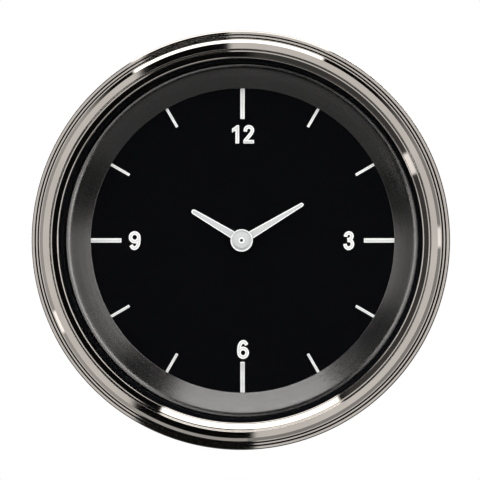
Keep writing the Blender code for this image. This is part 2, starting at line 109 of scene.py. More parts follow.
class Recipe:
    def __init__(self, tree):
        self.tree = tree

    def add(self, kind, settings=None, inputs=None, output=0):
        node = self.tree.nodes.new(kind)
        for key, value in (settings or {}).items():
            setattr(node, key, value)
        for key, value in (inputs or {}).items():
            self.feed(node.inputs[key], value)
        return Signal(self, node.outputs[output])

    def feed(self, socket, value):
        if isinstance(value, Signal):
            self.tree.links.new(value.socket, socket)
        else:
            socket.default_value = value

    # the place on the piece, in millimetres unless scaled otherwise
    def place(self, scale=(1000.0, 1000.0, 1000.0), spot=(0.0, 0.0, 0.0)):
        found = self.add("ShaderNodeTexCoord", output="Object")
        inputs = {"Vector": found, "Scale": scale, "Location": spot}
        return self.add("ShaderNodeMapping", {}, inputs)

    def parts(self, vector):
        split = self.add("ShaderNodeSeparateXYZ", {}, {0: vector}).socket.node
        return [Signal(self, socket) for socket in split.outputs]

    def noise(self, vector, scale, detail=2.0, rough=0.5):
        inputs = {"Vector": vector, "Scale": scale, "Detail": detail, "Roughness": rough}
        return self.add("ShaderNodeTexNoise", {}, inputs)

    def mix(self, amount, first, second):
        inputs = {"Factor": amount, 6: first, 7: second}
        return self.add("ShaderNodeMix", {"data_type": "RGBA"}, inputs, 2)

    def tones(self, amount, dark, light):
        return self.mix(amount, (*dark, 1.0), (*light, 1.0))


class Finish(Recipe):
    made = {}

    def __init__(self, name, **sockets):
        self.material = bpy.data.materials.new(name)
        self.material.use_nodes = True
        super().__init__(self.material.node_tree)
        self.shader = self.tree.nodes["Principled BSDF"]
        for key, value in sockets.items():
            self.set(key.replace("_", " "), value)
        Finish.made[name] = self.material

    def set(self, key, value):
        if key == "Base Color" and not isinstance(value, Signal):
            value = (*value, 1.0)
        self.feed(self.shader.inputs[key], value)

    def bump(self, height, strength, distance):
        inputs = {"Height": height, "Strength": strength, "Distance": distance * mm}
        self.set("Normal", self.add("ShaderNodeBump", {}, inputs))


# rings across the radius and turns round the axis, for grain left by a lathe
def turnedCoordinates(finish, rings, turns):
    x, y, z = finish.parts(finish.place())
    radius = (x * x + z * z) ** 0.5
    angle = z.math("ARCTAN2", x)
    return finish.add("ShaderNodeCombineXYZ", {}, {0: (radius + y) * rings, 1: angle * turns})


def makeBezelFinish():
    look = {"color": (0.59, 0.545, 0.497), "dull": (0.545, 0.503, 0.46), "roughness": 0.03}
    finish = Finish("darkNickelPolished", Metallic=1.0)
    place = finish.place()
    cloud = finish.noise(place, 0.09, 3.0)
    smear = finish.noise(finish.place((120.0, 900.0, 500.0)), 0.5, 4.0)
    finish.set("Base Color", finish.tones(cloud.ramp(0.35, 0.7), look["dull"], look["color"]))
    finish.set("Roughness", smear.ramp(0.4, 0.8, look["roughness"], look["roughness"] + 0.03))
    grain = turnedCoordinates(finish, 30.0, 1.5)
    finish.bump(finish.noise(grain, 1.0, 2.0), 0.06, 0.004)
    return finish.material


def makeTrimFinish():
    look = {"dark": (0.185, 0.18, 0.176), "light": (0.225, 0.22, 0.215), "roughness": 0.185}
    finish = Finish("satinTurnedNickel", Metallic=1.0)
    lines = finish.noise(turnedCoordinates(finish, 9.0, 2.2), 2.0, 4.0, 0.7)
    speck = finish.noise(finish.place(), 7.0, 2.0)
    finish.set("Base Color", finish.tones(lines.ramp(0.3, 0.7), look["dark"], look["light"]))
    finish.set("Roughness", speck.ramp(0.3, 0.7, look["roughness"], look["roughness"] + 0.03))
    finish.bump(lines + speck * 0.1, 0.015, 0.008)
    return finish.material


def makeDialFinish():
    look = {"dark": (0.0002, 0.0003, 0.0009), "light": (0.0008, 0.0010, 0.0020), "grain": 3.2}
    finish = Finish("grainedBlackDial", Specular_IOR_Level=0.07)
    place = finish.place()
    grain = finish.noise(place, look["grain"], 3.0, 0.65)
    pits = finish.noise(place, 0.8, 2.0)
    finish.set("Base Color", finish.tones(grain.ramp(0.35, 0.75), look["dark"], look["light"]))
    finish.set("Roughness", pits.ramp(0.3, 0.7, 0.5, 0.62))
    finish.bump(grain, 0.5, 0.03)
    return finish.material


def makePaint(name, low, high, roughness):
    finish = Finish(name)
    speck = finish.noise(finish.place(), 6.0, 3.0, 0.6)
    finish.set("Base Color", finish.tones(speck.ramp(0.3, 0.7), low, high))
    finish.set("Roughness", speck.ramp(0.2, 0.8, roughness, roughness + 0.12))
    finish.bump(speck, 0.15, 0.01)
    return finish.material


# moulded plastic: spark-eroded grain of this texture and depth, and faint flow marks
def makePlastic(name, low, high, roughness, texture, depth=0.02, shine=0.5):
    finish = Finish(name, Specular_IOR_Level=shine)
    place = finish.place()
    grain = finish.noise(place, texture, 3.0, 0.6)
    flow = finish.noise(place, 0.12, 2.0)
    finish.set("Base Color", finish.tones(flow.ramp(0.3, 0.7) * 0.6 + grain * 0.4, low, high))
    finish.set("Roughness", flow.ramp(0.3, 0.7, roughness, roughness + 0.14) + grain * 0.06)
    finish.bump(grain, 0.35, depth)
    return finish.material


# rolled or plated metal: drawn grain along the smallest stretch, clouded plating, fine scratches
def makeMetal(name, dark, light, roughness, stretch):
    finish = Finish(name, Metallic=1.0)
    grain = finish.noise(finish.place(stretch), 1.0, 4.0, 0.65)
    cloud = finish.noise(finish.place(), 0.05, 2.0)
    scratch = finish.noise(finish.place((200.0, 3500.0, 260.0)), 1.0, 2.0).ramp(0.62, 0.72)
    tone = (cloud * 0.5 + grain * 0.5).ramp(0.25, 0.75)
    finish.set("Base Color", finish.tones(tone, dark, light))
    dull = cloud.ramp(0.3, 0.7, roughness, roughness + 0.07)
    finish.set("Roughness", dull + grain * 0.05 - scratch * 0.06)
    finish.bump(grain + scratch * 0.5, 0.2, 0.012)
    return finish.material


# thin clear glass: clear where seen straight on, and more of a mirror towards its edge
def makeGlass(name, tint, edge):
    finish = Finish(name, Metallic=1.0, Base_Color=tint)
    smear = finish.noise(finish.place(), 0.11, 3.0)
    finish.set("Roughness", smear.ramp(0.4, 0.8, 0.01, 0.04))
    facing = finish.add("ShaderNodeLayerWeight", {}, {"Blend": 0.5}, output="Facing")
    mirrored = facing**5 * 0.96 + 0.035
    clear = finish.add("ShaderNodeBsdfTransparent", {}, {"Color": (edge, edge, edge, 1.0)})
    body = Signal(finish, finish.shader.outputs[0])
    both = finish.add("ShaderNodeMixShader", {}, {0: mirrored, 1: clear, 2: body})
    finish.feed(finish.tree.nodes["Material Output"].inputs["Surface"], both)
    return finish.material


def makeBoardFinish():
    finish = Finish("greenBoard", Coat_Weight=0.4)
    place = finish.place((1000.0, 1000.0, 1000.0), (0.25, 0.0, 0.25))
    checks = finish.add("ShaderNodeTexBrick", {}, {"Vector": place, "Scale": 0.25, "Mortar Size": 0.04})
    mask = Signal(finish, checks.socket.node.outputs["Fac"])
    finish.set("Base Color", finish.tones(mask, (0.015, 0.10, 0.045), (0.03, 0.19, 0.08)))
    finish.set("Roughness", finish.noise(place, 1.5).ramp(0.3, 0.7, 0.3, 0.45))
    finish.bump(mask, 0.3, 0.03)
    return finish.material


def makeWindingFinish():
    finish = Finish("enamelledWire", Metallic=1.0, Roughness=0.28)
    along = finish.parts(finish.place())[0]
    # The colour follows the bump's stripes: darker in the grooves between the turns, where shade would
    # fall, as painted shade; the light end is the copper's colour on the crowns.
    wire = (along * 40.0).math("SINE") * 0.5 + 0.5
    finish.set("Base Color", finish.tones(wire, (0.28, 0.09, 0.04), (0.72, 0.30, 0.14)))
    finish.bump(wire, 0.8, 0.05)
    return finish.material


bezelFinish = makeBezelFinish()
trimFinish = makeTrimFinish()
dialFinish = makeDialFinish()
handCore = makePaint("handSilverWhite", (0.52, 0.53, 0.53), (0.575, 0.585, 0.585), 0.42)
# Painted highlight: this near-white goes on the rims of the hands and of the collet in place of light
# caught by their edges; the hands' own paint is the grey of the line above.
handRimHighlight = makePaint("paintedHighlightHandRim", (0.92, 0.92, 0.91), (0.98, 0.98, 0.97), 0.35)
printCore = makePaint("printLightGrey", (0.66, 0.66, 0.65), (0.74, 0.74, 0.73), 0.5)
# Painted highlight: this white goes on the rims of the numbers and hour marks in place of light caught by
# their raised edges; the light grey of the line above fills the face within.
printRimHighlight = makePaint("paintedHighlightPrintRim", (0.90, 0.90, 0.88), (0.97, 0.97, 0.95), 0.45)
blackPlastic = makePlastic("blackMoulded", (0.012, 0.012, 0.014), (0.022, 0.022, 0.025), 0.42, 4.0)
spacerPlastic = makePlastic(
    "blackSpacer", (0.0012, 0.0015, 0.0024), (0.002, 0.0024, 0.0034), 0.55, 3.0, shine=0.1
)
whitePlastic = makePlastic("whiteMoulded", (0.72, 0.72, 0.68), (0.82, 0.82, 0.79), 0.4, 3.0)
rubber = makePlastic("blackRubber", (0.010, 0.010, 0.011), (0.020, 0.020, 0.021), 0.72, 2.2, 0.04)
steel = makeMetal("zincPlatedSteel", (0.50, 0.49, 0.45), (0.66, 0.65, 0.61), 0.26, (900.0, 60.0, 900.0))
caseSteel = makeMetal(
    "blackZincCase", (0.24, 0.237, 0.23), (0.31, 0.305, 0.297), 0.27, (90.0, 1400.0, 90.0)
)
brightSteel = makeMetal(
    "brightSteel", (0.56, 0.55, 0.53), (0.70, 0.69, 0.67), 0.2, (300.0, 2500.0, 300.0)
)
brass = makeMetal("machinedBrass", (0.62, 0.42, 0.16), (0.80, 0.58, 0.26), 0.22, (400.0, 2500.0, 400.0))
magnetFinish = makeMetal(
    "sinteredMagnet", (0.08, 0.08, 0.085), (0.14, 0.14, 0.145), 0.4, (800.0, 800.0, 800.0)
)
lensGlass = makeGlass("clearLens", (0.97, 1.0, 0.99), 0.99)
bulbGlass = makeGlass("bulbGlass", (1.0, 0.99, 0.96), 0.97)
boardFinish = makeBoardFinish()
windingFinish = makeWindingFinish()
print("finishes made:", len(Finish.made))


# The profile with each corner rounded by a curve that starts and ends radius away from it.
# A point may give its own radius as a third number.
def blended(profile, radius, closed=True, steps=4):
    count = len(profile)
    points = []
    for k, corner in enumerate(profile):
        if not closed and k in (0, count - 1):
            points.append(corner)
            continue
        here = Vector(corner[:2])
        reach = corner[2] if len(corner) > 2 else radius
        ends = []
        for other in (profile[k - 1], profile[(k + 1) % count]):
            side = Vector(other[:2]) - here
            ends.append(here + side.normalized() * min(reach, side.length * 0.45))
        for step in range(steps + 1):
            t = step / steps
            points.append(tuple(ends[0] * (1 - t) ** 2 + here * 2 * t * (1 - t) + ends[1] * t * t))
    return points


# A profile of (radius, y) in millimetres, spun round the clock's axis direction.
def turnedShape(profile, steps=64, closed=True):
    shape = bmesh.new()
    corners = [shape.verts.new((radius * mm, y * mm, 0.0)) for radius, y in profile]
    pairs = list(zip(corners, corners[1:])) + ([(corners[-1], corners[0])] if closed else [])
    for pair in pairs:
        shape.edges.new(pair)
    bmesh.ops.spin(
        shape,
        geom=shape.verts[:] + shape.edges[:],
        cent=(0.0, 0.0, 0.0),
        axis=(0.0, 1.0, 0.0),
        angle=2 * math.pi,
        steps=steps,
        use_merge=True,
    )
    bmesh.ops.remove_doubles(shape, verts=shape.verts, dist=1e-7)
    bmesh.ops.recalc_face_normals(shape, faces=shape.faces)
    return shape


# A plate from closed outlines in (x, z), drawn in by the margin, its edges rounded by the bevel.
def flatShape(loops, front, back, bevel, margin=0.0):
    curve = bpy.data.curves.new("outline", "CURVE")
    curve.dimensions = "2D"
    curve.fill_mode = "BOTH"
    curve.extrude = ((back - front) / 2 - bevel) * mm
    curve.bevel_depth = bevel * mm
    curve.bevel_resolution = 2
    curve.offset = -(bevel + margin) * mm
    for loop in loops:
        spline = curve.splines.new("POLY")
        spline.points.add(len(loop) - 1)
        for point, (x, z) in zip(spline.points, loop):
            point.co = (x * mm, z * mm, 0.0, 1.0)
        spline.use_cyclic_u = True
    middle = Matrix.Translation((0, (front + back) / 2 * mm, 0))
    return shapeOf(curve, middle @ Matrix.Rotation(math.pi / 2, 4, "X"))


# The curve as a closed bmesh moved by matrix, and the curve removed.
def shapeOf(curve, matrix):
    guide = bpy.data.objects.new("guide", curve)
    bpy.context.scene.collection.objects.link(guide)
    mesh = bpy.data.meshes.new_from_object(guide.evaluated_get(bpy.context.evaluated_depsgraph_get()))
    bpy.data.objects.remove(guide)
    bpy.data.curves.remove(curve)
    shape = bmesh.new()
    shape.from_mesh(mesh)
    bpy.data.meshes.remove(mesh)
    bmesh.ops.transform(shape, matrix=matrix, verts=shape.verts)
    bmesh.ops.remove_doubles(shape, verts=shape.verts, dist=2e-7)
    bmesh.ops.recalc_face_normals(shape, faces=shape.faces)
    return shape


def boxShape(size, middle, bevel=0.0, segments=3):
    shape = bmesh.new()
    matrix = Matrix.Translation(Vector(middle) * mm) @ Matrix.Diagonal((*[s * mm for s in size], 1.0))
    bmesh.ops.create_cube(shape, size=1.0, matrix=matrix)
    if bevel:
        softenEdges(shape, bevel, segments)
    return shape


# Rounds every edge that is sharper than the angle.
def softenEdges(shape, width, segments=3, angle=40.0):
    sharp = [e for e in shape.edges if e.is_manifold and e.calc_face_angle(0.0) > math.radians(angle)]
    bmesh.ops.bevel(
        shape,
        geom=sharp,
        affect="EDGES",
        offset=width * mm,
        offset_type="OFFSET",
        segments=segments,
        profile=0.5,
        material=-1,
        clamp_overlap=True,
    )


# One bmesh that holds them all.
def joined(first, *others):
    for other in others:
        mesh = bpy.data.meshes.new("joined")
        other.to_mesh(mesh)
        other.free()
        first.from_mesh(mesh)
        bpy.data.meshes.remove(mesh)
    return first


# Moves a shape made on the axis to stand on another axis, at (x, z).
def moved(shape, place):
    bmesh.ops.translate(shape, verts=shape.verts, vec=(place[0] * mm, 0.0, place[1] * mm))
    return shape


# Shades by area: a corner's normal leans to the larger of the faces that meet there within the
# angle, so flats stay flat.
def weighNormals(mesh, angle):
    corners = len(mesh.loops)
    vertexOf = np.empty(corners, np.int64)
    mesh.loops.foreach_get("vertex_index", vertexOf)
    areas = np.empty(len(mesh.polygons))
    mesh.polygons.foreach_get("area", areas)
    totals = np.empty(len(mesh.polygons), np.int64)
    mesh.polygons.foreach_get("loop_total", totals)
    facing = np.empty(len(mesh.polygons) * 3)
    mesh.polygons.foreach_get("normal", facing)
    faceOf = np.repeat(np.arange(len(totals)), totals)
    order = np.argsort(vertexOf, kind="stable")
    counts = np.bincount(vertexOf)
    starts = np.cumsum(counts) - counts
    shares = counts[vertexOf[order]]
    first = np.repeat(order, shares)
    within = np.arange(len(first)) - np.repeat(np.cumsum(shares) - shares, shares)
    second = order[np.repeat(starts[vertexOf[order]], shares) + within]
    facing = facing.reshape(-1, 3)
    one, other = facing[faceOf[first]], facing[faceOf[second]]
    near = (one * other).sum(axis=1) > math.cos(math.radians(angle))
    pull = other * (areas[faceOf[second]] * near)[:, None]
    sums = np.stack([np.bincount(first, weights=pull[:, k], minlength=corners) for k in range(3)], axis=1)
    sums /= np.linalg.norm(sums, axis=1)[:, None] + 1e-20
    mesh.normals_split_custom_set(sums.tolist())


# Makes the shape a piece of the scene that rides on a body and stands in for these nodes.
def finished(name, shape, materials, body, nodes=(), angle=35.0):
    mesh = bpy.data.meshes.new(name)
    shape.to_mesh(mesh)
    shape.free()
    for material in materials if isinstance(materials, (list, tuple)) else [materials]:
        mesh.materials.append(material)
    mesh.shade_smooth()
    weighNormals(mesh, angle)
    piece = bpy.data.objects.new(name, mesh)
    bpy.context.scene.collection.objects.link(piece)
    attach(piece, body)
    if nodes:
        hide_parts(*nodes)


def circlePoints(radius, place=(0.0, 0.0), steps=48):
    turns = [2 * math.pi * k / steps for k in range(steps)]
    return [(place[0] + radius * math.cos(t), place[1] + radius * math.sin(t)) for t in turns]


# (x, z) at a radius and an angle clockwise from twelve.
def clockPoint(radius, degrees):
    return radius * math.sin(math.radians(degrees)), radius * math.cos(math.radians(degrees))


# The node's lowest and highest y, in millimetres.
def spanOf(node):
    low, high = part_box(node)
    return low[1] / mm, high[1] / mm


# A curve through all the points (Catmull-Rom), as many short lines.
def smoothPath(points, steps=6):
    path = [Vector(p) for p in points]
    path = [path[0] * 2 - path[1]] + path + [path[-1] * 2 - path[-2]]
    found = []
    for a, b, c, d in zip(path, path[1:], path[2:], path[3:]):
        for step in range(steps):
            t = step / steps
            square = (a * 2 - b * 5 + c * 4 - d) * t**2
            cube = (b * 3 - a - c * 3 + d) * t**3
            found.append((b * 2 + (c - a) * t + square + cube) / 2)
    return found + [path[-2]]


# The outline of a line of this width drawn along the points, its ends softly squared, drawn in
# by the inset.
def strokeOutline(points, width, inset=0.0):
    path = smoothPath(points)
    width -= 2 * inset
    path = [p for p in path if min((p - path[0]).length, (p - path[-1]).length) > inset - 1e-6]
    left, right = [], []
    for k, point in enumerate(path):
        ahead = path[min(k + 1, len(path) - 1)] - path[max(k - 1, 0)]
        across = Vector((-ahead.y, ahead.x)).normalized() * width / 2
        left.append(point + across)
        right.append(point - across)
    outline = [tuple(p) for p in left + right[::-1]]
    return roundedEnds(outline, len(left), width * 0.28)


# Rounds the four corners where the two long sides of a stroke end.
def roundedEnds(outline, count, radius):
    corners = {0, count - 1, count, len(outline) - 1}
    found = []
    for k, corner in enumerate(outline):
        if k not in corners:
            found.append(corner)
            continue
        here = Vector(corner)
        before = Vector(outline[k - 1]) - here
        after = Vector(outline[(k + 1) % len(outline)]) - here
        start = here + before.normalized() * min(radius, before.length * 0.8)
        end = here + after.normalized() * min(radius, after.length * 0.8)
        for step in range(4):
            t = step / 3
            found.append(tuple(start * (1 - t) ** 2 + here * 2 * t * (1 - t) + end * t * t))
    return found


# A plate with a second, narrower one lying on its front, which takes the second material; the first
# material shows as a rim round it, which for the hands and the print is a painted edge highlight.
def inlaidShape(loops, front, back, margin, step, inner=None):
    base = flatShape(loops, front + step, back, 0.02)
    inlay = flatShape(inner or loops, front, front + step * 1.5, 0.006, 0.0 if inner else margin)
    for face in inlay.faces:
        face.material_index = 1
    return joined(base, inlay)


# the front: bezel, lens, spacer, ring, dial, print and hands

def makeBezelPiece():
    look = {"terraceTilt": 7.5, "crestTilt": 7.0, "edge": 0.008, "steps": 320}
    rise = math.tan(math.radians(look["terraceTilt"]))
    crest = math.tan(math.radians(look["crestTilt"]))
    profile = [
        (41.38, -5.35),  # lip over the glass
        (41.38, -5.5),
        (41.5, -5.58, 0.05),
        (41.64, -5.59, 0.04),
        (42.77, -6.46),  # cove and its shelf
        (43.0, -6.46 + 0.23 * rise),
        (43.06, -6.46),
        (43.34, -6.84, 0.03),  # crest
        (43.44, -6.88, 0.03),
        (44.8, -6.88 + 1.36 * crest),
        (45.5, -6.28),  # three terraces
        (45.72, -6.28 + 0.22 * rise),
        (46.09, -5.87),
        (46.42, -5.87 + 0.33 * rise),
        (46.8, -5.44),
        (47.29, -5.44 + 0.49 * rise, 0.02),
        (47.5, -5.2, 0.08),  # rim and rolled back
        (47.5, -1.75, 0.3),
        (47.05, -1.3, 0.2),
        (43.9, -1.3),
        (43.9, -2.1),
        (45.6, -2.1),
        (45.6, -5.35),
    ]
    shape = turnedShape(blended(profile, look["edge"], steps=3), look["steps"])
    finished("bezelShell", shape, bezelFinish, "root", ["bezel"], 20.0)


def ringShape(inner, outer, front, back, edge, steps):
    profile = [(inner, front), (outer, front), (outer, back), (inner, back)]
    return turnedShape(blended(profile, edge), steps)


def makeSeals():
    # inner radius, outer radius, front, back, rounded edge and steps of each ring
    gasket = ringShape(43.2, 47.0, -1.0, 0.0, 0.3, 160)
    finished("panelGasketRing", gasket, rubber, "root", ["panel_gasket"])
    seal = ringShape(43.2, 45.3, -5.0, -3.5, 0.3, 128)
    finished("lensSealRing", seal, rubber, "root", ["lens_seal"])
    spacer = ringShape(40.4, 41.3, -3.2, 0.2, 0.12, 160)
    finished("glassSpacerRing", spacer, spacerPlastic, "root", ["glass_spacer"])


def discProfile(radius, front, back):
    return [(0.0, front), (radius, front), (radius, back), (0.0, back)]


def makeLensPiece():
    look = {"radius": 42.9, "front": -5.0, "back": -3.5, "edge": 0.12}
    profile = discProfile(look["radius"], look["front"], look["back"])
    shape = turnedShape(blended(profile, look["edge"], False, 2), 128, False)
    finished("lensDisc", shape, lensGlass, "root", ["lens"])


def makeTrimPiece():
    look = {
        "foldWidth": 0.27,  # each step of the rounded outer edge
        "foldTilt": 4.5,
        "foldTurn": 5.0,
        "cone": [(37.4, 26.5), (36.0, 25.0), (34.7, 23.0)],  # radius and the tilt out to it
    }
    profile = [(40.6, 2.6), (40.37, 2.3), (40.37, 0.85), (40.28, 0.68)]
    height = 0.62
    for step in range(5):
        profile.append((40.15 - look["foldWidth"] * step, height))
        tilt = math.radians(look["foldTilt"] + look["foldTurn"] * step)
        height += look["foldWidth"] * math.tan(tilt)
    profile.append((38.8, height))
    for radius, tilt in look["cone"]:
        height += (profile[-1][0] - radius) * math.tan(math.radians(tilt))
        profile.append((radius, height))
    profile += [(34.66, height), (34.66, 3.15), (35.5, 3.15), (39.2, 2.6)]
    shape = turnedShape(blended(profile, 0.1, steps=3), 256)
    finished("trimRingTurned", shape, trimFinish, "root", ["trim_ring"], 30.0)


def makeDialPiece():
    look = {"hole": 2.0, "radius": 40.9, "front": 3.4, "back": 4.2}
    hole, radius, front, back = look.values()
    profile = [(hole, front), (radius, front), (radius, back), (hole, back)]
    shape = turnedShape(blended(profile, 0.06, steps=2), 192)
    finished("dialPlate", shape, dialFinish, "root", ["dial"])


# Each digit of the four numbers, with its middle as (x, z) on the dial.
def placedDigits():
    return [
        ("1", -1.574, 24.2),
        ("2", 1.417, 24.2),
        ("3", 24.25, -0.03),
        ("6", 0.13, -24.85),
        ("9", -24.66, -0.05),
    ]


# One digit about its middle, 4.36 mm high, as pairs of outlines: the whole stroke, and its
# inlay or None.
def digitStrokes(digit, width, inset):
    def stroke(points, turn=1.0):
        path = [(x * turn, z * turn) for x, z in points]
        return [strokeOutline(path, width)], [strokeOutline(path, width, inset)]

    if digit == "1":
        flag = [(-0.04, 0.9), (-0.84, 0.36), (-0.88, 1.36), (-0.4, 1.62), (0.28, 2.18)]
        return [([blended([(0.85, 2.18), (0.85, -2.18), (-0.04, -2.18)] + flag, 0.16)], None)]
    if digit == "2":
        turns = [math.radians(t) for t in range(180, -40, -20)]
        arc = [(0.03 + 0.82 * math.cos(t), 0.96 + 0.82 * math.sin(t)) for t in turns]
        slant = [(0.6, 0.24), (0.38, -0.06), (0.1, -0.4), (-0.22, -0.78), (-0.54, -1.16), (-0.86, -1.54)]
        base = [(-1.27, -2.18), (1.27, -2.18), (1.27, -1.33), (-1.27, -1.33)]
        return [stroke([(-0.81, 0.64)] + arc + slant), ([blended(base, 0.16)], None)]
    if digit == "3":
        upper = [(-0.77, 0.9), (-0.7, 1.25), (-0.45, 1.62), (0.0, 1.8), (0.47, 1.65)]
        upper += [(0.74, 1.22), (0.66, 0.7), (0.3, 0.33), (-0.33, 0.2)]
        lower = [(-0.33, 0.06), (0.3, 0.0), (0.7, -0.3), (0.86, -0.88), (0.62, -1.5)]
        lower += [(0.0, -1.83), (-0.56, -1.62), (-0.84, -1.15), (-0.9, -0.78)]
        return [stroke(upper), stroke(lower)]
    turn = -1.0 if digit == "9" else 1.0
    stem = [(-0.96, -0.85), (-0.99, -0.4), (-0.97, 0.1), (-0.86, 0.8)]
    stem += [(-0.5, 1.5), (0.0, 1.8), (0.5, 1.64), (0.87, 1.05)]
    turns = [math.radians(t) for t in range(0, 360, 8)]
    bowl = []
    for pull in (0.0, inset):
        loops = []
        for reach in (width / 2 - pull, pull - width / 2):
            oval = [((0.97 + reach) * math.cos(t), (1.02 + reach) * math.sin(t) - 0.8) for t in turns]
            loops.append([(x * turn, z * turn) for x, z in oval])
        bowl.append(loops)
    return [stroke(stem, turn), tuple(bowl)]


def makePrint():
    look = {
        "front": 3.33,
        "back": 3.42,
        "step": 0.02,  # how far the inlay stands behind the front
        "size": 0.96,
        "stroke": 0.86,
        # edge, majorEdge and minorEdge: how wide the painted highlight rims round the numbers and marks
        # are
        "edge": 0.24,
        "majorWidth": 0.98,
        "majorEdge": 0.26,
        "majorInner": 27.7,
        "minorWidth": 0.6,
        "minorEdge": 0.17,
        "minorInner": 29.85,
        "outer": 36.0,
    }
    front, back, step, size = look["front"], look["back"], look["step"], look["size"]
    behind = 0.007  # between two strokes that cross
    strokes = []
    for digit, x, z in placedDigits():
        for order, pair in enumerate(digitStrokes(digit, look["stroke"], look["edge"])):
            whole, inlay = [
                [[(x + a * size, z + b * size) for a, b in loop] for loop in loops or []]
                for loops in pair
            ]
            # each stroke's wider plate shows a rim in the first colour round its grey inlay: a painted
            # edge highlight
            strokes.append(inlaidShape(whole, front + behind * order, back, look["edge"], step, inlay))
    finished("printedNumbers", joined(*strokes), [printRimHighlight, printCore], "root")
    marks = []
    for hour in range(12):
        kind = "minor" if hour % 3 else "major"
        half = look[kind + "Width"] / 2
        inner = look[kind + "Inner"]
        corners = [(-half, inner), (half, inner), (half, look["outer"]), (-half, look["outer"])]
        turn = math.radians(hour * 30.0)
        cos, sin = math.cos(turn), math.sin(turn)
        loop = [(x * cos + z * sin, z * cos - x * sin) for x, z in blended(corners, 0.1)]
        marks.append(inlaidShape([loop], front, back, look[kind + "Edge"], step))
    finished("printedMarks", joined(*marks), [printRimHighlight, printCore], "root")


# Outline of a tapered hand with a round hub, and its hole, turned clockwise from twelve.
def handLoops(angle, reach, rootHalf, tipHalf, hub, hole):
    start = math.degrees(math.asin(rootHalf / hub))
    outline = [clockPoint(hub, start + k * (360 - 2 * start) / 40) for k in range(41)]
    tipEnd = reach - tipHalf
    tip = [math.radians(t) for t in range(0, 181, 18)]
    outline += [(tipHalf * -math.cos(t), tipEnd + tipHalf * math.sin(t)) for t in tip]
    turn = math.radians(angle)
    cos, sin = math.cos(turn), math.sin(turn)
    turned = [(x * cos + z * sin, z * cos - x * sin) for x, z in outline]
    return [turned, circlePoints(hole, steps=32)]


def makeHandPieces():
    look = {
        "minute": {"angle": 59.2, "reach": 16.3, "rootHalf": 0.91, "tipHalf": 0.43, "hole": 1.3},
        "hour": {"angle": 300.6, "reach": 13.35, "rootHalf": 0.885, "tipHalf": 0.545, "hole": 1.6},
        # edge: how wide the painted highlight rim round each hand's grey core is
        "edge": 0.22,
        "thickness": 0.42,
    }
    for body, front in (("minute", 0.58), ("hour", 1.78)):
        loops = handLoops(hub=2.3, **look[body])
        # The rim of the wider plate, left showing round the grey inlay, is a painted highlight along the
        # hand's edge.
        blade = inlaidShape(loops, front, front + look["thickness"], look["edge"], 0.04)
        finished(f"{body}HandBlade", blade, [handRimHighlight, handCore], body, [f"{body}_hand"])
    boss = [(0.0, -0.2), (0.33, -0.2), (0.36, -0.46), (0.46, -0.54), (0.6, -0.52), (0.68, -0.47)]
    boss += [(1.62, -0.45), (1.78, -0.36), (1.82, -0.2)]
    rim = [(1.84, 0.06), (2.27, 0.06), (2.33, -0.16), (2.42, -0.2)]
    rim += [(2.5, -0.16), (2.55, -0.06), (2.55, 0.24), (2.49, 0.3)]
    sleeve = [(1.0, 0.3), (1.0, 1.4), (0.75, 1.4), (0.75, -0.08), (0.0, -0.08)]
    collet = turnedShape(boss + rim + sleeve, 96, False)
    # Painted light on the collet: the hole's faces take black plastic as painted shade in the hole, and
    # faces nearer the axis than 0.64 mm or beyond 2.24 mm take the near-white as a painted highlight on
    # the ring round the hole and on the outer rim; the annulus between takes the grey paint.
    for face in collet.faces:
        spot = face.calc_center_median() / mm
        radius = math.hypot(spot.x, spot.z)
        if radius < 0.36 and spot.y < -0.1:
            face.material_index = 2  # the hole in the boss
        elif 0.64 <= radius <= 2.24:
            face.material_index = 1
    materials = [handRimHighlight, handCore, blackPlastic]
    finished("handCollet", collet, materials, "minute", ["hand_collet"])


# Where the pieces of the back stand, in millimetres from the clock's axis.
studX = 28.0
lampX, lampZ = 24.0, 20.0
terminalZ = 30.0
settingZ = -13.5


# The CAD node's shape with its seams merged and its flat faces whole.
def copied(node):
    shape = bmesh.new()
    shape.from_mesh(frame["nodes"][node].data)
    bmesh.ops.remove_doubles(shape, verts=shape.verts, dist=2e-6)
    bmesh.ops.dissolve_limit(shape, angle_limit=math.radians(1.0), verts=shape.verts, edges=shape.edges)
    return shape


def makeClampPiece():
    look = {"edge": 0.18}
    shape = copied("clamp_bracket")
    softenEdges(shape, look["edge"], 2, 30.0)
    finished("clampBracketBent", shape, steel, "clamp", ["clamp_bracket"])


def makeCasePiece():
    look = {"radius": 42.6, "taper": 1.3, "groove": 0.35, "grooveHalf": 0.9, "join": 37.6}
    front, back = 3.0, 42.2  # where the taper starts and ends

    def wallRadius(y):
        return look["radius"] - look["taper"] * max(0.0, y - front) / (back - front)

    outside = [(41.7, -3.2), (45.3, -3.2), (45.3, -2.4), (42.6, -2.4, 0.5), (42.6, front)]
    for middle in (8.0, 37.5):
        for offset, depth in ((-1.0, 0.0), (-0.35, 1.0), (0.35, 1.0), (1.0, 0.0)):
            y = middle + offset * look["grooveHalf"]
            outside.append((wallRadius(y) - depth * look["groove"], y, 0.3))
    outside += [(wallRadius(back) - 0.05, 44.0, 1.7), (look["join"], 44.0), (look["join"], 43.0)]
    inside = [(40.3, 43.0, 0.8), (40.4, 42.0), (41.7, front)]
    shell = turnedShape(blended(outside + inside, 0.15), 192)
    holes = [circlePoints(2.3, (x, 0.0), 32) for x in (-studX, studX)]
    holes += [circlePoints(5.4, (x, lampZ), 48) for x in (-lampX, lampX)]
    holes.append(circlePoints(3.5, (0.0, settingZ), 40))
    holes.append(blended([(-11.0, 27.5), (11.0, 27.5), (11.0, 32.5), (-11.0, 32.5)], 0.5))
    edge = circlePoints(look["join"] + 0.15, steps=192)
    plate = flatShape([edge] + holes, 43.1, 43.93, 0.12)
    finished("caseShell", joined(shell, plate), caseSteel, "root", ["case"])


